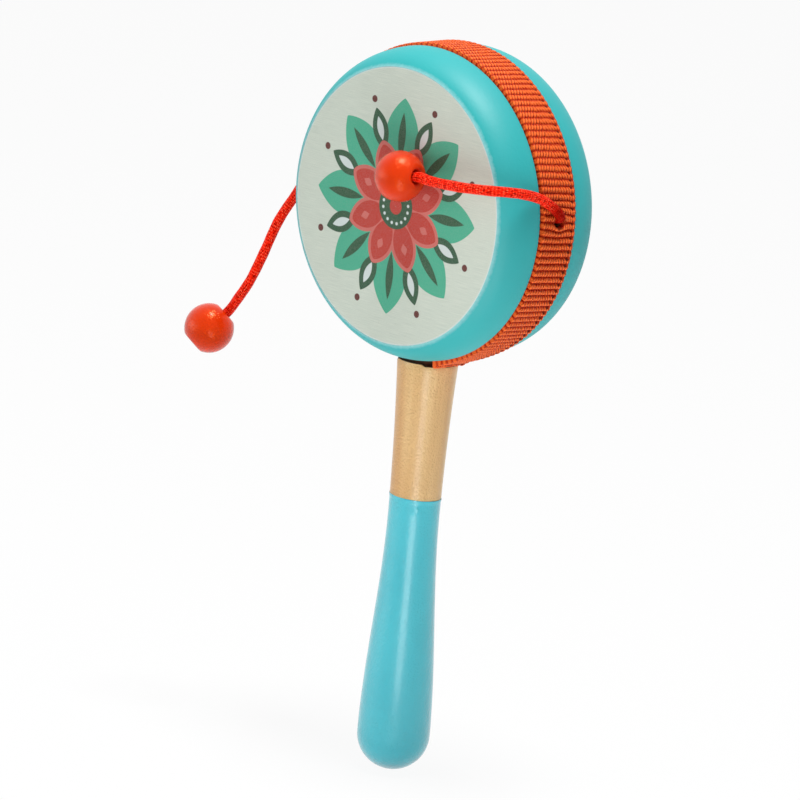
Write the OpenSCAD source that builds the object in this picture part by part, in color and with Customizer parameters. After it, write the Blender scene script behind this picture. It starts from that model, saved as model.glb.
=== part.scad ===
// Pellet drum rattle: a two-sided drum on a turned handle, with a bead on a cord at each side.
// The grip's centre is the origin, the handle runs along Z and the front face looks along -Y.

/* [Drum] */
// Diameter over the webbing
drum_d = 90.8; // [90.4:0.1:91.2]
// Thickness from face to face
drum_t = 38; // [34:0.5:44]
// Diameter of the turned halves beside the webbing
rim_d = 89.4; // [88.6:0.2:89.8]
// Width of the rounded shoulder, seen from the front
shoulder_w = 7; // [6:0.2:8]
// Depth of the rounded shoulder, along the drum's axis
shoulder_h = 11.6; // [9:0.2:11.8]
// Thickness of the rim's wall and of the faces
wall_t = 4; // [3:0.5:6]
// Diameter of the printed discs
print_d = 78.8; // [78:0.2:79.8]
// Thickness of the printed discs, which lie in shallow seats
print_t = 0.3; // [0.2:0.1:0.5]

/* [Webbing] */
// Width of the webbing
webbing_w = 13.4; // [10:0.2:15]
// Thickness of the webbing
webbing_t = 1.8; // [1.4:0.1:2]
// Gap between the webbing and each wall of its groove
webbing_gap = 0.3; // [0.1:0.1:0.5]
// Distance between the webbing's two ends, across the handle
webbing_opening = 16; // [14:0.5:18]
// How far each cut end lifts off the curve, down to the handle's top
end_lift = 1.3; // [0:0.1:1.4]
// Length of each lifted end
end_run = 16; // [8:1:20]

/* [Handle] */
// Distance from the grip's centre down to the round end
grip_below = 40; // [35:0.5:45]
// Distance from the grip's centre up to the dip line
grip_above = 41.2; // [36:0.2:46]
// Length of the bare wood above the dip line
bare_l = 39.5; // [30:0.5:50]
// Diameter at the handle's top
handle_top_d = 17.6; // [16:0.2:20]
// Diameter at the narrowest place
neck_d = 14.8; // [13:0.2:16]
// Diameter of the grip at its widest
belly_d = 21; // [18:0.2:24]
// Distance of the handle's top below the webbing's outside
handle_gap = 0.9; // [0.9:0.1:3]
// Diameter of the tenon glued into the drum
tenon_d = 12; // [10:0.5:13]
// Thickness of the dipped paint
paint_t = 0.2; // [0.1:0.1:0.4]

/* [Cord] */
// Diameter of the satin cord
cord_d = 2.9; // [2.4:0.1:3.2]
// Diameter of the cord holes in the rim
hole_d = 4.4; // [4:0.1:5]
// Height of the cord holes above the drum's centre
hole_rise = 3.2; // [0:0.1:4]

/* [Beads] */
// Diameter of the beads
bead_d = 14.5; // [12:0.5:16]
// Diameter of the flats round a bead's bore
bead_flat_d = 6.7; // [6:0.1:7.5]
// Diameter of the bore
bead_bore_d = 4; // [3.6:0.1:4.4]
// Diameter of the pocket that hides the knot
pocket_d = 5.2; // [5:0.1:5.8]
// Diameter of the knot
knot_d = 4.2; // [4.1:0.1:4.6]

/* [Hidden] */
$fn = 96;
turquoise = [0.30, 0.75, 0.76];
grip_blue = [0.33, 0.74, 0.80];
print_grey = [0.78, 0.80, 0.75];
orange_red = [0.86, 0.28, 0.12];
cord_red = [0.85, 0.12, 0.07];
bead_red = [0.85, 0.22, 0.09];
beech = [0.86, 0.72, 0.50];

handle_top = grip_above + bare_l;
drum_z = handle_top + handle_gap + drum_d / 2;
half_t = drum_t / 2;
seat_r = drum_d / 2 - webbing_t;
glue_t = 0.03;
groove_w = webbing_w + 2 * webbing_gap;
end_angle = asin(webbing_opening / drum_d);

rim_land = 0.2;
shoulder_depth = min(shoulder_h, half_t - groove_w / 2 - rim_land);
shoulder_start = asin((print_d / 2 - rim_d / 2 + shoulder_w) / shoulder_w);
shoulder_rise = shoulder_depth / cos(shoulder_start);

cavity_r = seat_r - wall_t;
cavity_h = half_t - wall_t;
cavity_corner = 4;

tenon_rise = 4;
tenon_top = drum_z - cavity_r + tenon_rise;
tenon_chamfer = 1;
top_chamfer = 0.5;
neck_below_dip = 6.2;
neck_z = grip_above - neck_below_dip;
belly_z = -grip_below + belly_d / 2;

// The hinge points lie this far outside the webbing, and the cord's stretches start clear of them.
pivot_gap = 1.4;
pivot_x = drum_d / 2 + pivot_gap;
hole_z = drum_z + hole_rise;
webbing_hole_d = hole_d - 0.4;
inner_start = 1.7;
outer_start = 2.1;
outer_start_r = 0.8;
bend_d = cord_d + 0.2;

// Places along the bore, as distances from the bead's centre, and the size of the bore's mouth.
pocket_floor = 2.6;
knot_face = 3;
knot_centre = 4.3;
mouth_h = 0.5;
mouth_w = 1;

// The cord's route from the right hole over the shoulder to the bead on the front face.
right_pivot = [pivot_x, 0, hole_z];
right_bend = [44.5, -22.5, 140.0];
right_bead_at = [7.9, -26.6, 137.8];
right_bead_axis = [0.987, 0.065, 0.146];
right_inner_route = [right_pivot, [46.6, -2.0, 132.4], [46.2, -5.2, 135.4],
    [45.7, -9.6, 137.7], [45.2, -15.8, 139.3], right_bend];
right_outer_route = [right_bend, [41.2, -24.3, 140.0], [36.5, -25.7, 139.7],
    [31.8, -26.3, 139.3], [25.0, -26.5, 138.9], [19.0, -26.4, 138.7]];

// The cord's route from the left hole, which droops to the hanging bead.
left_pivot = [-pivot_x, 0, hole_z];
left_bend = [-62.6, -4.3, 104.6];
left_bead_at = [-75.1, -14.0, 75.3];
left_bead_axis = [0.392, 0.591, 0.705];
left_inner_route = [left_pivot, [-50.6, -0.2, 127.6], [-53.8, -0.6, 123.6], [-57.0, -1.1, 118.0],
    [-59.6, -2.0, 113.4], [-61.5, -3.1, 109.0], left_bend];
left_outer_route = [left_bend, [-63.4, -5.6, 100.2], [-64.6, -7.2, 94.8],
    [-66.0, -8.5, 90.2], [-68.8, -9.4, 85.2]];

function unit(v) = v / norm(v);

// The outline of the shoulder, from the printed disc's edge to the rim, as [radius, height].
function shoulder(steps) = [
    for (i = [0:steps])
        let (a = shoulder_start + (90 - shoulder_start) * i / steps)
        [rim_d / 2 - shoulder_w * (1 - sin(a)), half_t - shoulder_depth + shoulder_rise * cos(a)]
];

// The handle's radius at a height: waisted above, swelling below, less the paint's thickness.
function swell(t) = t * t * (3 - 2 * t);
function handle_r(z, skin) = (z > neck_z
    ? neck_d / 2 + (handle_top_d - neck_d) / 2 * pow((z - neck_z) / (handle_top - neck_z), 2)
    : neck_d / 2 + (belly_d - neck_d) / 2 * swell((neck_z - z) / (neck_z - belly_z))) - skin;

// The handle's side from one height down to another, then the round end if it is reached.
function side(from_z, to_z, steps, skin) = [
    for (i = [0:steps]) let (z = from_z + (to_z - from_z) * i / steps) [handle_r(z, skin), z]
];
function round_end(skin) = [
    for (a = [7.5:7.5:90]) [(belly_d / 2 - skin) * cos(a), belly_z - (belly_d / 2 - skin) * sin(a)]
];

// One ring of a cord, square to its direction.
function ring(centre, along, aside, r, sides) =
    let (a = unit(cross(along, aside)), b = cross(unit(along), a))
    [for (k = [0:sides - 1]) centre + r * (cos(360 * k / sides) * a + sin(360 * k / sides) * b)];

// A cord swept along points: a ring at each point, its first ring drawn in.
module cord_tube(route, aside, first_r = cord_d / 2, sides = 8) {
    last = len(route) - 1;
    rings = [
        for (i = [0:last])
            ring(route[i], unit(route[min(i + 1, last)] - route[max(i - 1, 0)]), aside,
                i == 0 ? first_r : cord_d / 2, sides)
    ];
    points = [for (r = rings) each r];
    walls = [
        for (i = [0:last - 1], k = [0:sides - 1])
            let (a = i * sides + k, b = i * sides + (k + 1) % sides)
            each [[a, a + sides, b + sides], [a, b + sides, b]]
    ];
    start_cap = [for (k = [0:sides - 1]) k];
    end_cap = [for (k = [0:sides - 1]) last * sides + sides - 1 - k];
    polyhedron(points, concat(walls, [start_cap, end_cap]));
}

// The route with its first point moved along it, so that it starts clear of its pivot.
function clear_of_pivot(route, gap) = [
    route[0] + gap * unit(route[1] - route[0]),
    for (i = [1:len(route) - 1]) route[i]
];

// Turns a shape that stands on Z to a direction and puts it at a place.
module facing(place, axis) {
    translate(place)
        rotate([0, acos(axis.z / norm(axis)), atan2(axis.y, axis.x)])
            children();
}

// Turns a shape that stands on Z so that it looks out of the drum's front.
module facing_front() {
    translate([0, 0, drum_z]) rotate([90, 0, 0]) children();
}

// One hollow turned half of the drum, its seam at height 0 and its face up.
module half_shell() {
    rotate_extrude()
        polygon(concat(
            [[0, half_t - print_t], [print_d / 2, half_t - print_t]],
            shoulder(12),
            [[rim_d / 2, groove_w / 2], [seat_r, groove_w / 2], [seat_r, 0], [cavity_r, 0]],
            [
                for (a = [0:15:90])
                    [cavity_r, cavity_h] - cavity_corner * [1 - cos(a), 1 - sin(a)]
            ],
            [[0, cavity_h]]
        ));
}

// The cord holes and the socket of the handle's tenon, drilled through the rim.
module rim_holes() {
    translate([0, 0, hole_z]) rotate([0, 90, 0]) cylinder(h = 2 * drum_d, d = hole_d, center = true);
    translate([0, 0, handle_top]) cylinder(h = drum_z - handle_top, d = tenon_d);
}

module front_shell() {
    color(turquoise) difference() {
        facing_front() half_shell();
        rim_holes();
    }
}

module back_shell() {
    color(turquoise) difference() {
        mirror([0, 1, 0]) facing_front() half_shell();
        rim_holes();
    }
}

module front_print() {
    color(print_grey) facing_front()
        translate([0, 0, half_t - print_t]) cylinder(h = print_t, d = print_d);
}

module back_print() {
    color(print_grey) mirror([0, 1, 0]) facing_front()
        translate([0, 0, half_t - print_t]) cylinder(h = print_t, d = print_d);
}

// One face of the webbing, seen from the front: round the drum from end to end, its ends lifted.
function webbing_lift(a) = let (run = (a - end_angle) * PI / 180 * drum_d / 2)
    end_lift * pow(max(0, 1 - run / end_run), 2);
function webbing_face(r) = [
    for (i = [0:120])
        let (
            a = end_angle + (360 - 2 * end_angle) * i / 120,
            lifted = r + webbing_lift(min(a, 360 - a))
        )
        lifted * [sin(a), -cos(a)]
];

// The webbing lies in the groove on a film of glue and stops on both sides of the handle's tenon.
module webbing_band() {
    inside = webbing_face(seat_r + glue_t);
    color(orange_red) difference() {
        facing_front() linear_extrude(webbing_w, center = true)
            polygon(concat(webbing_face(drum_d / 2), [for (i = [len(inside) - 1:-1:0]) inside[i]]));
        translate([0, 0, hole_z]) rotate([0, 90, 0])
            cylinder(h = 2 * drum_d, d = webbing_hole_d, center = true);
    }
}

// The turned handle: tenon, shoulder, bare waist, and the grip under its paint.
module handle() {
    color(beech) rotate_extrude()
        polygon(concat(
            [[0, tenon_top], [tenon_d / 2 - tenon_chamfer, tenon_top]],
            [[tenon_d / 2, tenon_top - tenon_chamfer], [tenon_d / 2, handle_top]],
            [[handle_top_d / 2 - top_chamfer, handle_top]],
            side(handle_top - top_chamfer, grip_above, 8, 0),
            side(grip_above, belly_z, 14, paint_t),
            round_end(paint_t)
        ));
}

// The paint that the grip was dipped in, ending at the dip line.
module grip_paint() {
    skin = concat(side(grip_above, belly_z, 14, paint_t), round_end(paint_t));
    coat = concat(side(grip_above, belly_z, 14, 0), round_end(0));
    color(grip_blue) rotate_extrude()
        polygon(concat(coat, [for (i = [len(skin) - 1:-1:0]) skin[i]]));
}

// The cord inside the drum, from one hole to the other, with a round end outside each.
module cord_inside() {
    color(cord_red) {
        translate([0, 0, hole_z]) rotate([0, 90, 0])
            cylinder(h = 2 * pivot_x, d = cord_d, center = true);
        translate(right_pivot) sphere(d = cord_d);
        translate(left_pivot) sphere(d = cord_d);
    }
}

// The stretch of cord from the rim to the bend, with a slightly thicker round end at the bend.
module inner_cord(route, aside) {
    color(cord_red) {
        cord_tube(clear_of_pivot(route, inner_start), aside);
        translate(route[len(route) - 1]) sphere(d = bend_d);
    }
}

// The stretch from the bend to the bead and on through its bore to the knot.
module outer_cord(route, aside, bead_at, bead_axis) {
    axis = unit(bead_axis);
    ends = [bead_at + bead_d / 2 * axis, bead_at - knot_face * axis];
    color(cord_red)
        cord_tube(concat(clear_of_pivot(route, outer_start), ends), aside, first_r = outer_start_r);
}

// The knot at the cord's end, pulled into the bead's pocket.
module knot(bead_at, bead_axis) {
    color(cord_red) facing(bead_at, -bead_axis)
        difference() {
            translate([0, 0, knot_centre]) sphere(d = knot_d);
            translate([0, 0, knot_face - knot_d]) cylinder(h = knot_d, d = 2 * knot_d);
        }
}

// A wooden bead with a flat at each end of its bore and a pocket for the knot.
module bead(bead_at, bead_axis) {
    flat_z = sqrt(pow(bead_d / 2, 2) - pow(bead_flat_d / 2, 2));
    color(bead_red) facing(bead_at, bead_axis)
        difference() {
            intersection() {
                sphere(d = bead_d);
                cylinder(h = 2 * flat_z, d = 2 * bead_d, center = true);
            }
            cylinder(h = 2 * bead_d, d = bead_bore_d, center = true);
            translate([0, 0, -bead_d]) cylinder(h = bead_d - pocket_floor, d = pocket_d);
            translate([0, 0, flat_z - mouth_h])
                cylinder(h = 2 * mouth_h, d1 = bead_bore_d, d2 = bead_bore_d + 2 * mouth_w);
        }
}

module right_cord_inner() { inner_cord(right_inner_route, [0, 0, 1]); }
module right_cord_outer() {
    outer_cord(right_outer_route, [0, 0, 1], right_bead_at, right_bead_axis);
}
module right_knot() { knot(right_bead_at, right_bead_axis); }
module right_bead() { bead(right_bead_at, right_bead_axis); }
module left_cord_inner() { inner_cord(left_inner_route, [0, 1, 0]); }
module left_cord_outer() {
    outer_cord(left_outer_route, [0, 1, 0], left_bead_at, left_bead_axis);
}
module left_knot() { knot(left_bead_at, left_bead_axis); }
module left_bead() { bead(left_bead_at, left_bead_axis); }

front_shell();
back_shell();
front_print();
back_print();
webbing_band();
handle();
grip_paint();
cord_inside();
right_cord_inner();
right_cord_outer();
right_knot();
right_bead();
left_cord_inner();
left_cord_outer();
left_knot();
left_bead();
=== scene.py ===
# Pellet drum rattle: a turned wooden drum on a dipped handle, with a bead on a cord at each side.
# The script puts the camera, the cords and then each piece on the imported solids, as it is made.

from math import asin, atan2, cos, degrees, exp, hypot, pi, radians, sin, sqrt

import bpy
from mathutils import Matrix, Vector


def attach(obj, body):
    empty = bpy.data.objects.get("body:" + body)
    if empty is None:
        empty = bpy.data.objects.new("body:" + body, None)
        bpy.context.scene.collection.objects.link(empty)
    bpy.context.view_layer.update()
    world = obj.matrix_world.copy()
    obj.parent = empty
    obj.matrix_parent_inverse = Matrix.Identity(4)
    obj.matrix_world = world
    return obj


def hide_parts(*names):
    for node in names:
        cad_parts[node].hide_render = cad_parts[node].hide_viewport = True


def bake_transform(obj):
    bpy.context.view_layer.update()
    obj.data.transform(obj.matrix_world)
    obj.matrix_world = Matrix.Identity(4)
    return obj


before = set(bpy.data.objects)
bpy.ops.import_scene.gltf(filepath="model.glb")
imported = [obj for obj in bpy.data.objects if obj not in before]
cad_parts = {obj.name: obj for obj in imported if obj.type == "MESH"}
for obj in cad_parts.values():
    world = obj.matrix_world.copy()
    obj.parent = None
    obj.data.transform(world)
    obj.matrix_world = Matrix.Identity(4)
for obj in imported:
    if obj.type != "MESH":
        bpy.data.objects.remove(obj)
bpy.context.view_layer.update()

scene = bpy.context.scene
scene.view_settings.view_transform = "Standard"
bpy.ops.object.select_all(action="DESELECT")

# The camera stands two metres off, a little above the drum and to its right, with a long lens.
# It is turned a few degrees about its own line of sight, as the rattle leans in the photograph.
camera_azimuth = radians(43.59)
camera_height = radians(12.6)
camera_roll = radians(5.26)
camera_place = Vector((1.3493, -1.4274, 0.5075))
back = Vector((
    sin(camera_azimuth) * cos(camera_height),
    -cos(camera_azimuth) * cos(camera_height),
    sin(camera_height),
))
level = Vector((cos(camera_azimuth), sin(camera_azimuth), 0))
right = level * cos(camera_roll) + back.cross(level) * sin(camera_roll)
camera_data = bpy.data.cameras.new("camera")
camera_data.lens = 317.7
camera_data.sensor_width = 36
camera_data.clip_start = 0.1
camera = bpy.data.objects.new("camera", camera_data)
camera.matrix_world = Matrix.Translation(camera_place) @ Matrix(
    (right, back.cross(right), back)
).transposed().to_4x4()
scene.collection.objects.link(camera)
scene.camera = camera


# Satin cord: a limp woven tube of bright red rayon, 2.9 mm thick, one length for each bead.
# It leaves its hole in the rim, bends at once, and ends in a sealed knot inside its bead.
mm = 0.001
drum_z = 127 * mm
cord_d = 2.9 * mm
cord_sides = 28
cord_step = 0.22 * mm
knot_depth = 3 * mm


def tone(red, green, blue):
    """A colour as it is seen, 0 to 255, in the linear values that a shader takes."""
    return (*[(c / 255 / 12.92) if c < 10.3 else ((c / 255 + 0.055) / 1.055) ** 2.4
              for c in (red, green, blue)], 1)


class Socket:
    """A shader's value, so that a pattern is written as a sum."""

    def __init__(self, nodes, out):
        self.nodes, self.out = nodes, out

    def __add__(self, other):
        return self.nodes.math("ADD", self, other)

    def __sub__(self, other):
        return self.nodes.math("SUBTRACT", self, other)

    def __rsub__(self, other):
        return self.nodes.math("SUBTRACT", other, self)

    def __mul__(self, other):
        return self.nodes.math("MULTIPLY", self, other)

    def __truediv__(self, other):
        return self.nodes.math("DIVIDE", self, other)

    def __pow__(self, other):
        return self.nodes.math("POWER", self, other)

    __radd__, __rmul__ = __add__, __mul__


class Nodes:
    """A node tree, of a material or of the world, in which every node is made the same way."""

    def __init__(self, tree):
        self.tree = tree

    def node(self, kind, settings, values, out=0):
        made = self.tree.nodes.new("ShaderNode" + kind)
        for key, value in settings.items():
            setattr(made, key, value)
        for key, value in values.items():
            if isinstance(value, Socket):
                self.tree.links.new(value.out, made.inputs[key])
            else:
                made.inputs[key].default_value = value
        return Socket(self, made.outputs[out])

    def link(self, value, target):
        self.tree.links.new(value.out, target)

    def math(self, operation, *values, clamp=False):
        return self.node("Math", {"operation": operation, "use_clamp": clamp}, dict(enumerate(values)))

    def mask(self, value):
        """The value, cut to 0 to 1."""
        return self.math("ADD", value, 0, clamp=True)

    def mix(self, share, first, second):
        """The first colour where the share is 0, and the second where it is 1."""
        return self.node("Mix", {"data_type": "RGBA"}, {0: share, 6: first, 7: second}, 2)

    def point(self):
        return self.node("TexCoord", {}, {}, "Object")

    def part(self, vector, axis):
        return self.node("SeparateXYZ", {}, {0: vector}, axis)

    def noise(self, vector, scale, detail=2, stretch=(1, 1, 1), place=(0, 0, 0)):
        """Soft random spots, finer for a larger scale or stretch."""
        moved = self.node("Mapping", {}, {"Vector": vector, "Scale": stretch, "Location": place})
        return self.node("TexNoise", {}, {"Vector": moved, "Scale": scale, "Detail": detail}, 0)


class Finish(Nodes):
    """A material: constants go on its shader, and patterns are sums of its sockets."""

    def __init__(self, name, **constants):
        self.material = bpy.data.materials.new(name)
        self.material.use_nodes = True
        super().__init__(self.material.node_tree)
        self.shader = self.tree.nodes["Principled BSDF"]
        for key, value in constants.items():
            socket = key.replace("_", " ").title().replace("Ior", "IOR")
            self.shader.inputs[socket].default_value = value

    def feed(self, socket, value):
        self.link(value, self.shader.inputs[socket])

    def bump(self, height, depth):
        self.feed("Normal", self.node("Bump", {}, {"Height": height, "Distance": depth}))


def smooth_line(points, step):
    """Points about a step apart along a rounded line through the given points."""
    ends = [points[0] * 2 - points[1], *points, points[-1] * 2 - points[-2]]
    line = []
    for a, b, c, d in zip(ends, ends[1:], ends[2:], ends[3:]):
        count = max(2, round((c - b).length / step))
        for i in range(count):
            t = i / count
            line.append(0.5 * (2 * b + (c - a) * t + (2 * a - 5 * b + 4 * c - d) * t ** 2
                               + (3 * b - a - 3 * c + d) * t ** 3))
    return [*line, points[-1]]


def cord_tube(name, line):
    """A slightly uneven tube round the line, with a round start where it turns in its hole."""
    radius = cord_d / 2
    along = [(line[min(i + 1, len(line) - 1)] - line[max(i - 1, 0)]).normalized()
             for i in range(len(line))]
    side = along[0].orthogonal().normalized()
    rings, run = [], 0
    for turn in (90, 72, 54, 36, 18):
        rings.append((line[0] - along[0] * radius * sin(radians(turn)),
                      along[0], max(radius * cos(radians(turn)), 0.02 * mm), -radius))
    for i, point in enumerate(line):
        run += (point - line[i - 1]).length if i else 0
        uneven = 1 + 0.018 * sin(run / (1.9 * mm)) + 0.012 * sin(run / (0.83 * mm) + 1)
        rings.append((point, along[i], radius * uneven, run))
    corners, faces, maps = [], [], []
    for centre, ahead, r, run in rings:
        side = (side - ahead * side.dot(ahead)).normalized()
        other = ahead.cross(side)
        for k in range(cord_sides):
            a = 2 * pi * k / cord_sides
            corners.append(centre + r * (cos(a) * side + sin(a) * other))
    for i in range(len(rings) - 1):
        start, end = rings[i][3] / cord_d, rings[i + 1][3] / cord_d
        for k in range(cord_sides):
            n = (k + 1) % cord_sides
            faces.append([i * cord_sides + k, i * cord_sides + n,
                          (i + 1) * cord_sides + n, (i + 1) * cord_sides + k])
            here, beyond = k / cord_sides, (k + 1) / cord_sides
            maps += [(here, start), (beyond, start), (beyond, end), (here, end)]
    last = (len(rings) - 1) * cord_sides
    faces += [list(range(cord_sides))[::-1], list(range(last, last + cord_sides))]
    maps += [(0, 0)] * (2 * cord_sides)
    mesh = bpy.data.meshes.new(name)
    mesh.from_pydata(corners, [], faces)
    mesh.uv_layers.new(name="weave").data.foreach_set("uv", [x for pair in maps for x in pair])
    mesh.polygons.foreach_set("use_smooth", [True] * len(faces))
    cord = bpy.data.objects.new(name, mesh)
    scene.collection.objects.link(cord)
    cord.data.materials.append(satin)
    return cord


# The rayon is woven in fine braided cells, with longer bright threads and pale painted highlights over
# them.
# Its map runs once round the cord, and along it in cord diameters. Near its hole it is darkened as
# painted shade.
finish = Finish("red_satin", specular_ior_level=0.1, specular_tint=tone(255, 90, 40))
weave = finish.node("UVMap", {"uv_map": "weave"}, {})
round_it, along_it = finish.part(weave, "X"), finish.part(weave, "Y")
strands, crossings = 9, 1.7
cells = (finish.math("SINE", (round_it * strands + along_it * crossings) * (2 * pi))
         * finish.math("SINE", (round_it * strands - along_it * crossings) * (2 * pi)))
threads = finish.noise(weave, 1, 3, (22, 2.6, 1))
lift = cells * 0.17 + threads * 1.8
shade = finish.mask((lift - 0.56) * 2.8)
hole_shade_share = finish.mask(1.6 - along_it * 0.55)
rayon = finish.mix(shade, tone(138, 2, 0), tone(255, 36, 12))
# Pale painted highlights are mixed in where the threads stand highest.
painted_glints = finish.mask((cells * 0.3 + threads * 1.5 - 0.9) * 4)
rayon = finish.mix(painted_glints * 0.8, rayon, tone(255, 128, 90))
# Near the hole the colour is darkened as painted shade.
finish.feed("Base Color", finish.mix(hole_shade_share * 0.85, rayon, tone(140, 5, 0)))
finish.feed("Roughness", 0.6 - threads * 0.4 + hole_shade_share * 0.4)
finish.bump(lift, 0.25 * mm)
satin = finish.material

right_bead_at = Vector((7.9, -26.6, 137.8)) * mm
right_bead_axis = Vector((0.987, 0.065, 0.146)).normalized()
left_bead_at = Vector((-75.1, -14.0, 75.3)) * mm
left_bead_axis = Vector((0.392, 0.591, 0.705)).normalized()
bead_d = 14.5 * mm

right_route = [Vector(p) * mm for p in [
    (46.2, -0.8, 131.9), (46.6, -2.2, 133.1), (46.3, -5.2, 135.4), (45.7, -9.6, 137.7),
    (45.2, -15.8, 139.3), (44.3, -20.0, 139.9), (42.9, -22.8, 140.1), (40.4, -24.6, 140.0),
    (36.5, -25.7, 139.7), (31.8, -26.3, 139.3), (25.0, -26.5, 138.9), (19.0, -26.4, 138.7)]]
right_route += [right_bead_at + k * right_bead_axis for k in (bead_d / 2, 0, -knot_depth)]
left_route = [Vector(p) * mm for p in [
    (-46.6, 0, 129.9), (-48.9, -0.1, 129.0), (-50.6, -0.2, 127.6), (-53.8, -0.6, 123.6),
    (-57.0, -1.1, 118.0), (-59.6, -2.0, 113.4), (-61.5, -3.1, 109.0), (-62.6, -4.3, 104.6),
    (-63.4, -5.6, 100.2), (-64.6, -7.2, 94.8), (-66.0, -8.5, 90.2), (-68.8, -9.4, 85.2)]]
left_route += [left_bead_at + k * left_bead_axis for k in (bead_d / 2, 0, -knot_depth)]

cord_pieces = {}
for side, route, start, end, exit_place in (
    ("right", right_route, (45.2, -15.8, 139.3), (36.5, -25.7, 139.7), (45.3, 0, 130.9)),
    ("left", left_route, (-61.5, -3.1, 109.0), (-64.6, -7.2, 94.8), (-45.3, 0, 130.0)),
):
    line = smooth_line(route, cord_step)
    piece = cord_tube(side + "_cord", line)
    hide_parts(side + "_cord_inner", side + "_cord_outer")
    side + "_cord_near"
    side + "_cord_far"
    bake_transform(piece)
    cord_pieces[side] = (piece, line, Vector(exit_place) * mm)

# The hidden stretch runs straight through the drum from one hole to the other.
hidden_route = [Vector(p) * mm for p in [
    (-44.9, 0, 130.05), (-44.0, 0, 130.1), (-30, 0, 130.2), (0, 0, 130.2), (30, 0, 130.3),
    (42.0, 0, 130.8), (45.6, -0.2, 131.5)]]
inside = cord_tube("cord_through_drum", smooth_line(hidden_route, 1 * mm)[::-1])
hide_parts("cord_inside")
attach(inside, "drum")


# Drum halves: each is turned from one block of wood, hollowed, and sprayed satin turquoise.
# The two are glued rim to rim, with a shallow groove for the webbing over the seam, and
# drilled for the cord at both sides and for the handle's tenon below.
rim_r = 44.7 * mm
groove_r = 43.6 * mm
groove_y = 7.0 * mm
half_t = 19 * mm
print_r = 39.4 * mm
print_seat = 18.7 * mm
shoulder_w, shoulder_h = 7.0 * mm, 11.6 * mm
cavity_r, cavity_y, cavity_corner = 39.6 * mm, 15 * mm, 4 * mm
hole_z, hole_r = 130.2 * mm, 2.2 * mm
handle_top = 80.7 * mm
tenon_r = 6 * mm
turned_sides = 240


def turned(name, profile, along, place=(0, 0, 0), sides=turned_sides):
    """A shape off the lathe: a ring is extruded and drawn in or out along the profile.

    The profile holds radii and distances along the axis, which is Y or Z through the place."""
    aim = {"Y": (0, 1, 0), "Z": (0, 0, 1)}[along]
    aim, place = Vector(aim), Vector(place)
    first_r, first_h = profile[0]
    bpy.ops.object.select_all(action="DESELECT")
    bpy.ops.mesh.primitive_circle_add(
        vertices=sides, radius=first_r, fill_type="NGON", location=place + aim * first_h,
        rotation=(radians(90), 0, 0) if along == "Y" else (0, 0, 0))
    piece = bpy.context.object
    piece.name = piece.data.name = name
    bpy.ops.object.transform_apply(location=True, rotation=True, scale=True)
    bpy.ops.object.mode_set(mode="EDIT")
    bpy.ops.mesh.select_all(action="SELECT")
    for (r0, h0), (r1, h1) in zip(profile, profile[1:]):
        bpy.ops.mesh.extrude_region_move(TRANSFORM_OT_translate={"value": aim * (h1 - h0)})
        grow = r1 / r0
        bpy.ops.transform.resize(
            value=(grow, 1, grow) if along == "Y" else (grow, grow, 1),
            center_override=place + aim * h1)
    bpy.ops.mesh.select_all(action="SELECT")
    bpy.ops.mesh.normals_make_consistent(inside=False)
    bpy.ops.object.mode_set(mode="OBJECT")
    bpy.ops.object.shade_smooth_by_angle(angle=radians(35))
    return piece


def drilled(piece, place, along, radius, depth):
    """Drills a round hole through the piece."""
    bpy.ops.object.select_all(action="DESELECT")
    bpy.ops.mesh.primitive_cylinder_add(
        vertices=48, radius=radius, depth=depth, location=place,
        rotation=(0, radians(90), 0) if along == "X" else (0, 0, 0))
    drill = bpy.context.object
    cut = piece.modifiers.new("drilled", "BOOLEAN")
    cut.operation, cut.object, cut.solver = "DIFFERENCE", drill, "EXACT"
    bpy.context.view_layer.objects.active = piece
    bpy.ops.object.modifier_apply(modifier=cut.name)
    bpy.data.objects.remove(drill)


def arc(centre, radii, first, last, steps):
    """Points on a quarter of an ellipse, its angles measured from the lathe's axis."""
    return [(centre[0] + radii[0] * sin(radians(first + (last - first) * i / steps)),
             centre[1] + radii[1] * cos(radians(first + (last - first) * i / steps)))
            for i in range(steps + 1)]


shoulder_at = (rim_r - shoulder_w, half_t - shoulder_h)
lip_angle = degrees(asin((print_r - shoulder_at[0]) / shoulder_w))
shoulder_rise = shoulder_h / cos(radians(lip_angle))
half_profile = [
    (1 * mm, cavity_y),
    (20 * mm, cavity_y),
    *arc((cavity_r - cavity_corner, cavity_y - cavity_corner), (cavity_corner,) * 2, 0, 90, 6),
    (cavity_r, 0.02 * mm),
    (groove_r - 0.15 * mm, 0.02 * mm),
    (groove_r, 0.15 * mm),
    (groove_r, groove_y - 0.1 * mm),
    (groove_r + 0.1 * mm, groove_y),
    (rim_r - 0.35 * mm, groove_y),
    (rim_r - 0.1 * mm, groove_y + 0.1 * mm),
    (rim_r, groove_y + 0.35 * mm),
    *arc(shoulder_at, (shoulder_w, shoulder_rise), 90, lip_angle, 26),
    (print_r + 0.02 * mm, print_seat),
    (20 * mm, print_seat),
    (1 * mm, print_seat),
]
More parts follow.
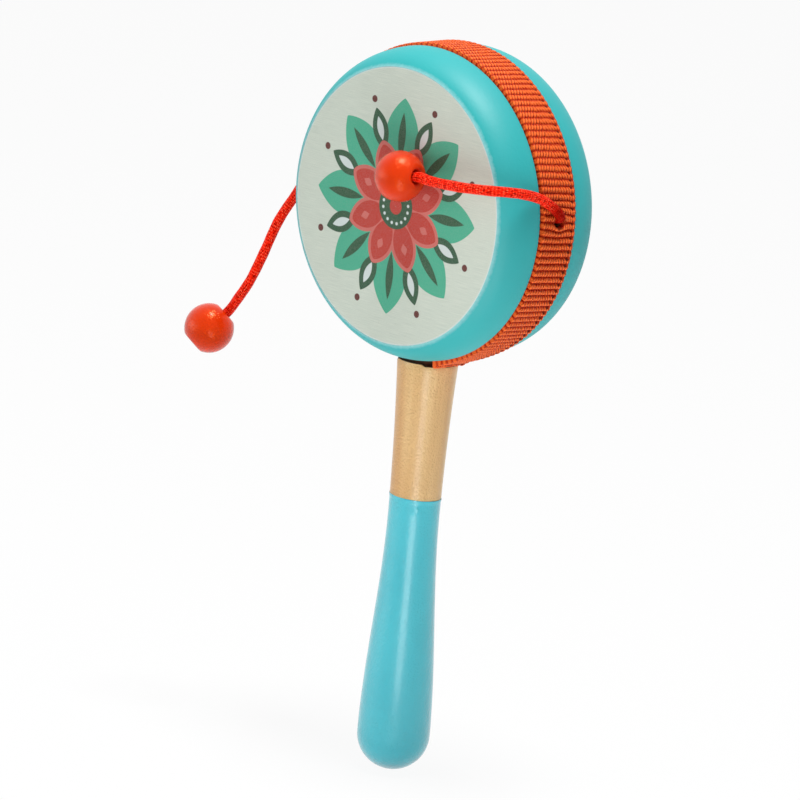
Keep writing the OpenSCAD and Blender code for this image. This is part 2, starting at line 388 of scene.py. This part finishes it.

# The paint is satin, with a faint orange peel, and a ragged pale ring by the print is part wear and part
# painted sheen.
finish = Finish("turquoise_satin_paint", coat_weight=0.2, coat_roughness=0.5, specular_ior_level=0.45)
place = finish.point()
peel = finish.noise(place, 900, 2)
cloud = finish.noise(place, 28, 3)
centred = finish.node("Mapping", {}, {"Vector": place, "Location": (0, 0, -drum_z), "Scale": (1, 0, 1)})
from_axis = finish.node("VectorMath", {"operation": "LENGTH"}, {0: centred}, "Value") / mm
ragged = finish.noise(place, 1100, 2)
wear_and_sheen_r = print_r / mm + 0.7
wear_and_sheen = finish.mask((wear_and_sheen_r - from_axis + ragged * 0.8) * 0.8)
paint = finish.mix(cloud, tone(21, 156, 158), tone(37, 172, 174))
# Pale ring by the print: partly worn paint, partly painted sheen.
finish.feed("Base Color", finish.mix(wear_and_sheen * 0.55, paint, tone(186, 226, 228)))
finish.feed("Roughness", cloud * 0.14 + 0.5)
finish.bump(peel + cloud * 3, 0.05 * mm)
turquoise = finish.material

# Inside, and in the drilled holes, the wood is bare, and its colour is painted dark as painted shade.
finish = Finish("bare_wood_painted_dark", roughness=0.8)
fuzz = finish.noise(finish.point(), 700, 3)
finish.feed("Base Color", finish.mix(fuzz, tone(84, 44, 28), tone(128, 78, 50)))
finish.bump(fuzz, 0.1 * mm)
bare_wood_shaded = finish.material

through_drum, socket_depth = 120 * mm, 14 * mm
for name, way in (("front_shell", -1), ("back_shell", 1)):
    half = turned(name + "_turned", [(r, way * h) for r, h in half_profile], "Y", (0, 0, drum_z))
    drilled(half, (0, 0, hole_z), "X", hole_r, through_drum)
    drilled(half, (0, 0, handle_top + 6 * mm), "Z", tenon_r + 0.02 * mm, socket_depth)
    half.data.materials.append(turquoise)
    half.data.materials.append(bare_wood_shaded)
    for face in half.data.polygons:
        outward = Vector((face.center.x, 0, face.center.z - drum_z))
        in_cavity = outward.length < cavity_r + 0.1 * mm and abs(face.center.y) < cavity_y + 0.1 * mm
        in_groove = outward.length < rim_r - 0.3 * mm and abs(face.center.y) < groove_y + 0.02 * mm
        # Faces in the cavity and the webbing's groove take the bare wood painted dark as shade.
        face.material_index = int(in_cavity or in_groove)
    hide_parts(name)
    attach(half, "drum")


# Printed faces: a thin round sheet is glued in a shallow seat on each side of the drum.
# The ground is pale grey with fine brushed lines, and carries a folk rosette of leaves and petals.
finish = Finish("printed_rosette", specular_ior_level=0.1)
place = finish.node("Mapping", {}, {"Vector": finish.point(), "Location": (0, 0, -drum_z)})
across = finish.part(place, "X") / mm
upward = finish.part(place, "Z") / mm
radius = finish.math("SQRT", across * across + upward * upward)
bearing = finish.math("ARCTAN2", upward, across)


def sector(count, turn):
    """Coordinates along and across the middle line of the nearest of so many rays."""
    wide = 2 * pi / count
    off = finish.math("WRAP", bearing + turn, wide / 2, -wide / 2)
    return radius * finish.math("COSINE", off), finish.math("ABSOLUTE", radius * finish.math("SINE", off))


def leaf(ray, first, last, half_width, edge=6, fullness=0.8):
    """A leaf on a ray, from its first radius to its last, in millimetres."""
    out, aside = ray
    share = finish.mask((out - first) / (last - first))
    half = finish.math("SINE", share * pi) ** fullness * half_width
    return finish.mask((half - aside) * edge)


def ring(inner, outer, edge=6):
    """A ring round the middle, or a disc if its inner radius is 0."""
    return finish.mask((radius - inner) * edge) * finish.mask((outer - radius) * edge)


def dot(ray, at, size, edge=6):
    """A round dot on a ray."""
    out, aside = ray
    apart = finish.math("SQRT", (out - at) * (out - at) + aside * aside)
    return finish.mask((size - apart) * edge)


brushed = finish.noise(place, 1, 2, (160, 160, 5600))
specks = finish.noise(place, 2600, 1)
ground = finish.mix(finish.mask(brushed * 2 - 0.5), tone(190, 201, 189), tone(209, 217, 204))
ground = finish.mix(finish.mask((specks - 0.74) * 9) * 0.5, ground, tone(150, 128, 112))
eight, between, sixteen = sector(8, 0), sector(8, pi / 8), sector(16, pi / 16)
leaf_green, deep_green = tone(64, 168, 136), tone(34, 78, 50)
petal_red, pale_red, berry_red = tone(182, 46, 34), tone(198, 100, 92), tone(92, 24, 20)
chalk = tone(205, 216, 214)
for shape, colour in (
    (leaf(eight, 10, 31, 6.4), leaf_green),
    (leaf(eight, 13, 27, 1.5), deep_green),
    (leaf(between, 16, 28.5, 3.1), deep_green),
    (leaf(between, 19, 26, 1.3), chalk),
    (dot(between, 31, 1.1), berry_red),
    (leaf(between, 4, 19, 4.9, fullness=0.6), pale_red),
    (leaf(between, 4.6, 17.8, 3.9, fullness=0.6), petal_red),
    (leaf(between, 10.5, 14.5, 1.2, fullness=1.6), pale_red),
    (ring(0, 6.6), deep_green),
    (dot(sixteen, 4.9, 0.55), chalk),
    (ring(0, 2.4), petal_red),
):
    ground = finish.mix(shape, ground, colour)
cut_edge = finish.mask((radius - 38.9) * 4)
ground = finish.mix(cut_edge * 0.6, ground, tone(216, 228, 228))
grain = finish.noise(place, 5200, 1)
finish.feed("Base Color", finish.mix(finish.mask(grain * 0.5 - 0.15), ground, tone(170, 176, 168)))
finish.feed("Roughness", brushed * 0.2 + 0.42)
finish.bump(brushed, 0.01 * mm)
printed = finish.material

sheet_gap = 0.03 * mm
sheet_profile = [
    (1 * mm, print_seat + sheet_gap), (print_r - sheet_gap, print_seat + sheet_gap),
    (print_r - sheet_gap, half_t - 0.08 * mm), (print_r - 0.1 * mm, half_t),
    (20 * mm, half_t), (1 * mm, half_t)]
for name, way in (("front_print", -1), ("back_print", 1)):
    sheet = turned(name + "_sheet", [(r, way * h) for r, h in sheet_profile], "Y", (0, 0, drum_z))
    sheet.data.materials.append(printed)
    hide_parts(name)
    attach(sheet, "drum")


# Webbing: a stiff orange-red polyester strap, woven in heavy ribs across its width.
# It is glued in the groove round the seam, an awl has opened it for the cords, and its
# cut ends stop at the handle, where the last few millimetres lift off the curve.
webbing_r, webbing_floor = 45.5 * mm, 43.62 * mm
webbing_half = 6.75 * mm
webbing_shift = 0.15 * mm
webbing_stop = 7 * mm
rib_pitch = 2.05 * mm
rib_depth, rib_flatter = 0.72 * mm, 0.42 * mm
rib_skew = 0.085
rib_steps = 8
across_steps = 26
front_notch, open_notch, back_notch = 0.08, 0.05, 0.02
edge_r, edge_run, selvedge_w = 0.4 * mm, 0.7 * mm, 1.1 * mm
awl_r, awl_reach, awl_bulge = 2.0 * mm, 2.2 * mm, 0.3 * mm
front_pull, back_pull, pull_reach = 0.5 * mm, 0.1 * mm, 5.5 * mm
end_lift, end_run, left_end_share = 1.2 * mm, 16 * mm, 0.4
fray, fray_run, fray_wave = 0.14 * mm, 1.5 * mm, 0.42 * mm
press, press_half, press_run = 0.5 * mm, 10 * mm, 1.5 * mm

stop_angle = asin(webbing_stop / webbing_r)
webbing_run = 2 * (pi - stop_angle) * webbing_r
rib_count = round(webbing_run / rib_pitch)
stations = rib_count * rib_steps
rise = asin((hole_z - drum_z) / webbing_r)
holes_at = [(pi / 2 + rise - stop_angle) * webbing_r,
            (3 * pi / 2 - rise - stop_angle) * webbing_r]


def webbing_point(s, y, skin):
    """A place on the strap: s along it from its right end, y across it, on its skin or its back."""
    rib = (s / webbing_run * rib_count) % 1
    tall = max(sin(pi * rib), 0) ** 0.85
    from_edge = webbing_half - abs(y)
    near_edge = min(1, from_edge / edge_run)
    selvedge = min(1, from_edge / selvedge_w)

    # Up from the cord holes the strap is stretched flatter and its ribs are shallow.
    open_run = min(1, max(0, (min(s, webbing_run - s) - holes_at[0] + 4 * mm) / (24 * mm)))
    depth = (rib_depth - rib_flatter * open_run) * (0.2 + 0.8 * selvedge)
    notch = front_notch - open_notch * open_run if y < 0 else back_notch
    y_share = abs(y) / webbing_half
    s -= y * rib_skew
    y, lift = y * (1 - notch * (1 - tall) * y_share ** 4), 0

    # The awl pushes the weave away all round each hole, and draws its edges in.
    for hole in holes_at:
        gap = s - hole
        apart = hypot(gap, y)
        pull = exp(-(gap / pull_reach) ** 2) * abs(y) / webbing_half
        y += -pull * back_pull if y > 0 else pull * front_pull
        push = awl_r * exp(-apart / awl_reach) / max(apart, 0.01 * mm)
        s, y = s + gap * push, y * (1 + push)
        lift += awl_bulge * exp(-(apart / awl_reach) ** 2)

    # Both cut ends lift off the curve, fray, and press on the handle's top.
    from_end = min(s, webbing_run - s)
    lift += end_lift * max(0, 1 - from_end / end_run) ** 2
    if s > webbing_run / 2:
        lift *= left_end_share
    if skin:
        lift += fray * exp(-(from_end / fray_run) ** 2) * (1 + sin(y / fray_wave))
        lift += press * min(1, max(0, (press_half - webbing_stop - from_end) / press_run))
        round_over = edge_r * (1 - sqrt(max(0, 1 - (1 - near_edge) ** 2)))
        r = webbing_r + 0.05 * mm + lift - depth * (1 - tall) - round_over
    else:
        r = webbing_floor + lift + 0.12 * mm * (1 - near_edge)
    angle = stop_angle + s / webbing_r
    return Vector((r * sin(angle), y + webbing_shift, drum_z - r * cos(angle)))


# The mesh's columns stand closer together towards both edges of the strap.
crowding = 0.35
even = [2 * j / across_steps - 1 for j in range(across_steps + 1)]
spread = [webbing_half * (crowding * sin(pi / 2 * x) + (1 - crowding) * x) for x in even]
columns = across_steps + 1
corners = [webbing_point(webbing_run * i / stations, y, skin)
           for skin in (True, False) for i in range(stations + 1) for y in spread]
below = (stations + 1) * columns
awl_open = 0.62 * mm


def open_cell(i, j):
    """Whether the cell is off the strap or in one of the two awl holes."""
    if not (0 <= i < stations and 0 <= j < across_steps):
        return True
    s = webbing_run * (i + 0.5) / stations
    y = (spread[j] + spread[j + 1]) / 2
    return any(hypot(s - hole, y) < awl_open for hole in holes_at)


faces = []
for i in range(stations):
    for j in range(across_steps):
        if open_cell(i, j):
            continue
        a, b = i * columns + j, i * columns + j + 1
        c, d = b + columns, a + columns
        faces += [(a, b, c, d), (d + below, c + below, b + below, a + below)]
        for near, (p, q) in (((i, j - 1), (d, a)), ((i, j + 1), (b, c)),
                             ((i - 1, j), (a, b)), ((i + 1, j), (c, d))):
            if open_cell(*near):
                faces.append((q, p, p + below, q + below))
mesh = bpy.data.meshes.new("ribbed_webbing")
mesh.from_pydata(corners, [], faces)
flat = [((y / webbing_half + 1) / 2, i / rib_steps) for i in range(stations + 1) for y in spread] * 2
mesh.uv_layers.new(name="ribs").data.foreach_set(
    "uv", [x for loop in mesh.loops for x in flat[loop.vertex_index]])
webbing = bpy.data.objects.new("ribbed_webbing", mesh)
scene.collection.objects.link(webbing)
bpy.ops.object.select_all(action="DESELECT")
webbing.select_set(True)
bpy.context.view_layer.objects.active = webbing
bpy.ops.object.mode_set(mode="EDIT")
bpy.ops.mesh.select_all(action="SELECT")
bpy.ops.mesh.delete_loose()
bpy.ops.mesh.select_all(action="SELECT")
bpy.ops.mesh.normals_make_consistent(inside=False)
bpy.ops.object.mode_set(mode="OBJECT")
bpy.ops.object.shade_smooth_by_angle(angle=radians(50))

# Slanted stitches cover each rib and meet in the middle, the valleys between ribs are darkened as painted
# shade, and a needle hole marks the back edge. The map runs from 0 to 1 across the strap, and along it in
# ribs.
finish = Finish("orange_webbing", specular_ior_level=0.5, specular_tint=tone(255, 120, 70))
ribs = finish.node("UVMap", {"uv_map": "ribs"}, {})
over, number = finish.part(ribs, "X"), finish.part(ribs, "Y")
in_rib = finish.math("FRACT", number) - 0.5
half_way = finish.math("SIGN", over - 0.5)
stitch = finish.math("ABSOLUTE", finish.math("SINE", (over * 12.5 + in_rib * half_way * 0.7) * pi))
# The colour darkens away from each rib's crest as painted shade.
top = finish.mask(1.2 - finish.math("ABSOLUTE", in_rib) * 2.8)
hole_over, hole_along = (over - 0.885) * 26, (in_rib - 0.3) * 6
# A dark dot of painted shade stands for each needle hole.
needle_hole_shade = finish.mask(1.5 - finish.math("SQRT", hole_over ** 2 + hole_along ** 2))
selvedge = finish.mask((finish.math("ABSOLUTE", over - 0.5) - 0.468) * 60) * top
fibre = finish.noise(ribs, 1, 3, (24, 3, 1))
shade = finish.mask((stitch * 1.3 + 0.1) * top + fibre * 1.6 + selvedge * 0.3 - 0.66)
colour = finish.mix(shade, tone(166, 11, 2), tone(254, 114, 50))
finish.feed("Base Color", finish.mix(needle_hole_shade, colour, tone(80, 4, 2)))
finish.feed("Roughness", 0.72 - stitch * 0.2)
finish.bump(stitch + fibre * 0.5 - needle_hole_shade, 0.36 * mm)
webbing.data.materials.append(finish.material)
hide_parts("webbing_band")
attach(webbing, "drum")


# Handle: turned from one length of pale beech, waisted under the drum and swelling to the grip.
# Its tenon is glued in the drum. The upper part stays bare under a thin satin varnish.
waist_r, waist_z = 7.4 * mm, 35 * mm
top_r = 8.8 * mm
belly_r, belly_z = 10.5 * mm, -29.5 * mm
dip_z = 41.2 * mm
paint_t = 0.2 * mm


def handle_r(z):
    """The handle's radius over the paint: a waist above, and a smooth swell to the belly."""
    if z > waist_z:
        return waist_r + (top_r - waist_r) * ((z - waist_z) / (handle_top - waist_z)) ** 2
    t = (waist_z - z) / (waist_z - belly_z)
    return waist_r + (belly_r - waist_r) * t * t * (3 - 2 * t)


def handle_side(first, last, steps, skin):
    """The handle's outline from one height to another, so deep under the paint's surface."""
    return [(handle_r(first + (last - first) * i / steps) - skin, first + (last - first) * i / steps)
            for i in range(steps + 1)]


def round_end(skin):
    """The outline of the handle's round lower end, so deep under the paint's surface."""
    r = belly_r - skin
    return [(max(r * cos(radians(a)), 0.3 * mm), belly_z - r * sin(radians(a)))
            for a in range(6, 90, 6)] + [(0.3 * mm, belly_z - r)]


tenon_top = 91.4 * mm
wood_profile = [
    (1 * mm, tenon_top), (tenon_r - 1 * mm, tenon_top), (tenon_r, tenon_top - 1 * mm),
    (tenon_r, handle_top), (top_r - 0.6 * mm, handle_top), (top_r - 0.18 * mm, handle_top - 0.15 * mm),
    *handle_side(handle_top - 0.6 * mm, dip_z, 24, 0),
    *handle_side(dip_z - 0.05 * mm, belly_z, 36, paint_t), *round_end(paint_t)]

# Beech has a faint straight grain, short darker flecks along it and a pebbled varnish over it.
# A paler stripe, painted as a highlight, runs down the side that is to the right of the front, and the
# colour is painted paler towards that side as painted light.
finish = Finish("bare_beech", coat_weight=0.7, coat_roughness=0.25, specular_ior_level=0.3)
place = finish.point()
grain = finish.noise(place, 1, 4, (700, 700, 30))
bands = finish.noise(place, 1, 1, (150, 150, 7), (3, 1, 0))
across_to_camera_right = (finish.part(place, "X") * 0.71 + finish.part(place, "Y") * 0.7) / top_r
painted_highlight_stripe = finish.mask(1 - finish.math("ABSOLUTE", across_to_camera_right - 0.1) * 2)
pebbles = finish.noise(place, 1500, 2)
flecks = finish.mask((finish.noise(place, 1, 1, (2400, 2400, 500)) - 0.6) * 6)
# Paler towards the camera's right and in the stripe: painted light.
pale = finish.mask(grain * 0.45 + bands * 1.2 + across_to_camera_right * 0.42 + painted_highlight_stripe * 0.35 - 0.62)
wood = finish.mix(pale, tone(212, 160, 96), tone(254, 222, 162))
finish.feed("Base Color", finish.mix(flecks * 0.16, wood, tone(176, 128, 80)))
finish.feed("Roughness", grain * 0.2 + 0.38)
finish.bump(grain * 0.1 + pebbles - flecks * 0.1, 0.4 * mm)
wood_piece = turned("beech_handle", wood_profile, "Z", sides=128)

# In front of the webbing's ends and behind them, the top keeps a low lip of wood.
lip_rise, lip_from, lip_run = 0.5 * mm, 6.7 * mm, 0.6 * mm
for corner in wood_piece.data.vertices:
    if corner.co.z > handle_top - 0.6 * mm and hypot(corner.co.x, corner.co.y) > tenon_r + 2 * mm:
        corner.co.z += lip_rise * min(1, max(0, (abs(corner.co.y) - lip_from) / lip_run))
wood_piece.data.materials.append(finish.material)
wood_piece.data.materials.append(bare_wood_shaded)
for face in wood_piece.data.polygons:
    # The handle's top takes the bare wood painted dark as the shade under the drum.
    face.material_index = int(face.center.z > handle_top - 0.1 * mm)
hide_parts("handle")
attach(wood_piece, "drum")


# Grip paint: the handle's lower part is dipped in gloss blue paint, which levels in soft dimples.
# It stops in a thick, slightly slanted edge where the surface of the bath was, and one small
# run of it has dried below that edge.
dip_slant, slant_run = 0.35 * mm, 4 * mm
dip_bead = 0.16 * mm
run_at = Vector((5.6, -4.6, 38.2)) * mm
run_size, run_rise = 1.3 * mm, 0.3 * mm
run_end = 33 * mm
coat_profile = [
    *reversed(round_end(paint_t - 0.02 * mm)),
    *reversed(handle_side(dip_z, belly_z, 36, paint_t - 0.02 * mm)),
    (handle_r(dip_z) + dip_bead * 0.6, dip_z + 0.05 * mm),
    (handle_r(dip_z) + dip_bead, dip_z - 0.25 * mm),
    (handle_r(dip_z) + dip_bead * 0.7, dip_z - 0.6 * mm),
    *handle_side(dip_z - 1.1 * mm, run_end, 16, 0),
    *handle_side(run_end - 1 * mm, belly_z, 36, 0), *round_end(0)]
finish = Finish("grip_dip_paint", coat_weight=1, coat_roughness=0.26, specular_ior_level=0.4)
place = finish.point()
dimples = finish.noise(place, 1400, 2)
pool = finish.noise(place, 60, 2)
finish.feed("Base Color", finish.mix(pool, tone(44, 187, 204), tone(60, 203, 218)))
finish.feed("Roughness", pool * 0.1 + 0.3)
finish.bump(dimples + pool * 2, 0.22 * mm)
coat = turned("grip_dip_coat", coat_profile, "Z", sides=128)
coat.data.materials.append(finish.material)
for corner in coat.data.vertices:
    near_run = exp(-((corner.co - run_at).length / run_size) ** 2)
    corner.co += Vector((run_at.x, run_at.y, 0)).normalized() * run_rise * near_run
    if corner.co.z > dip_z - slant_run:
        share = (corner.co.z - dip_z) / slant_run + 1
        corner.co.z += share * dip_slant * (-corner.co.x * 0.7 - corner.co.y * 0.7) / waist_r
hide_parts("grip_paint")
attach(coat, "drum")


# Pellets: turned wooden balls, bored through, with a flat at each end of the bore.
# They are dipped in glossy orange-red lacquer, and a pocket in the far end hides the knot.
bore_r, pocket_r, pocket_floor = 2.0 * mm, 2.6 * mm, 2.6 * mm
flat_r = 3.35 * mm
bead_r = bead_d / 2
flat_z = sqrt(bead_r ** 2 - flat_r ** 2)
flat_angle = degrees(asin(flat_r / bead_r))
bead_profile = [
    (bore_r, 0), (bore_r, flat_z - 0.8 * mm), (bore_r + 0.15 * mm, flat_z - 0.45 * mm),
    (bore_r + 0.5 * mm, flat_z - 0.12 * mm), (bore_r + 0.8 * mm, flat_z),
    (flat_r - 0.25 * mm, flat_z - 0.02 * mm),
    *arc((0, 0), (bead_r, bead_r), flat_angle + 2, 180 - flat_angle - 2, 44),
    (flat_r - 0.25 * mm, -flat_z + 0.02 * mm), (pocket_r + 0.35 * mm, -flat_z),
    (pocket_r + 0.08 * mm, -flat_z + 0.12 * mm), (pocket_r, -flat_z + 0.4 * mm),
    (pocket_r, -pocket_floor), (bore_r, -pocket_floor), (bore_r, 0)]
finish = Finish("orange_bead_lacquer", coat_weight=0.1, coat_roughness=0.08, specular_ior_level=0.7,
                specular_tint=tone(255, 125, 50))
place = finish.point()
waves = finish.noise(place, 2600, 2)
cloud = finish.noise(place, 90, 2)
finish.feed("Base Color", finish.mix(cloud, tone(204, 41, 4), tone(219, 56, 8)))
finish.feed("Roughness", cloud * 0.1 + 0.1)
finish.bump(waves, 0.12 * mm)

ball = turned("wooden_bead", bead_profile, "Z", sides=96)
bpy.ops.object.mode_set(mode="EDIT")
bpy.ops.mesh.select_all(action="SELECT")
bpy.ops.mesh.remove_doubles(threshold=0.001 * mm)
bpy.ops.mesh.normals_make_consistent(inside=False)
bpy.ops.object.mode_set(mode="OBJECT")
ball.data.materials.append(finish.material)


def copied(piece, name, at, axis):
    """A copy of a piece with its own mesh, turned to the axis and moved to its place."""
    copy = bpy.data.objects.new(name, piece.data.copy())
    copy.data.name = name
    copy.data.transform(Matrix.Translation(at) @ axis.to_track_quat("Z", "Y").to_matrix().to_4x4())
    scene.collection.objects.link(copy)
    return copy


bead_places = {"right": (right_bead_at, right_bead_axis), "left": (left_bead_at, left_bead_axis)}
for side, (at, axis) in bead_places.items():
    bead = copied(ball, side + "_wooden_bead", at, axis)
    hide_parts(side + "_bead")
    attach(bead, side + "_pellet")
bpy.data.objects.remove(ball)


# Knots: each cord's end is tied, melted to a hard red drop and pulled up into its bead.
# Its face is flat against the pocket's floor, and the tied turns still show in its sides.
knot_r, knot_face = 2.1 * mm, 1.25 * mm
bpy.ops.object.select_all(action="DESELECT")
bpy.ops.mesh.primitive_uv_sphere_add(segments=40, ring_count=24, radius=knot_r, location=(0, 0, 0))
drop = bpy.context.object
for corner in drop.data.vertices:
    turn = atan2(corner.co.y, corner.co.x)
    swirl = sin(2 * turn + corner.co.z / knot_r * 3.2)
    corner.co *= 0.95 + 0.05 * swirl
    corner.co.z = min(corner.co.z, knot_face)
bpy.ops.object.shade_smooth()
drop.data.materials.append(satin)
drop.data.uv_layers[0].name = "weave"

for side, (at, axis) in bead_places.items():
    knot = copied(drop, side + "_sealed_knot", at - axis * (knot_depth + 1.3 * mm), axis)
    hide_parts(side + "_knot")
    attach(knot, side + "_cord_far")
    piece, line, exit_place = cord_pieces[side]
    run = sum((b - a).length for a, b in zip(line, line[1:]))
    "loose" if side == "right" else "hanging"
bpy.data.objects.remove(drop)


# Studio: a pale floor under the grip, a small softbox high overhead, a wide one at the left and
# a low one that lies in front of the object and faces up.
# The floor and the world look white to the camera and in reflections, and keep the soft shadow.
floor_z = -40.6 * mm
floor_white, world_light = 0.93, 0.26
bpy.ops.object.select_all(action="DESELECT")
bpy.ops.mesh.primitive_plane_add(size=14, location=(0, 0, floor_z))
ground_sheet = bpy.context.object
ground_sheet.name = "floor"
finish = Finish("white_floor", base_color=(0.85, 0.85, 0.85, 1), roughness=0.8)
seen = finish.mask(finish.node("LightPath", {}, {}, "Is Camera Ray")
                   + finish.node("LightPath", {}, {}, "Is Glossy Ray"))
glow = finish.node("Emission", {}, {"Color": (1, 1, 1, 1), "Strength": 1.0})
lit = Socket(finish, finish.shader.outputs[0])
both = finish.node("MixShader", {}, {0: seen * floor_white, 1: lit, 2: glow})
finish.link(both, finish.tree.nodes["Material Output"].inputs["Surface"])
ground_sheet.data.materials.append(finish.material)

scene.world = bpy.data.worlds.new("studio")
scene.world.use_nodes = True
around = Nodes(scene.world.node_tree)
sky = around.tree.nodes["Background"]
sky.inputs["Color"].default_value = (1, 1, 1, 1)
seen = around.math("MAXIMUM", around.node("LightPath", {}, {}, "Is Camera Ray"),
                   around.node("LightPath", {}, {}, "Is Glossy Ray"))
around.link(around.math("MAXIMUM", seen, world_light), sky.inputs["Strength"])


def softbox(name, place, aim, wide, tall, power):
    """A lamp panel at a place, in metres, that faces what it is aimed at."""
    lamp = bpy.data.lights.new(name, "AREA")
    lamp.shape, lamp.size, lamp.size_y, lamp.energy = "ELLIPSE", wide, tall, power
    shown = bpy.data.objects.new(name, lamp)
    shown.location = place
    shown.rotation_euler = (place - aim).to_track_quat("Z", "Y").to_euler()
    scene.collection.objects.link(shown)


up = back.cross(right)
middle = Vector((0, 0, 0.08))
ahead = Vector((back.x, back.y, 0)).normalized()
low_place = ahead * 0.43 + Vector((0, 0, 0.025))
softbox("overhead_softbox", middle + right * 0.15 + up * 0.98 + back * 0.37, middle, 0.3, 0.3, 12)
softbox("left_softbox", middle - right * 0.93 + up * 0.14 + back * 0.1, middle, 0.95, 0.4, 2.2)
softbox("low_softbox", low_place, low_place - ahead * 0.2 + Vector((0, 0, 1)), 0.13, 0.62, 0.92)
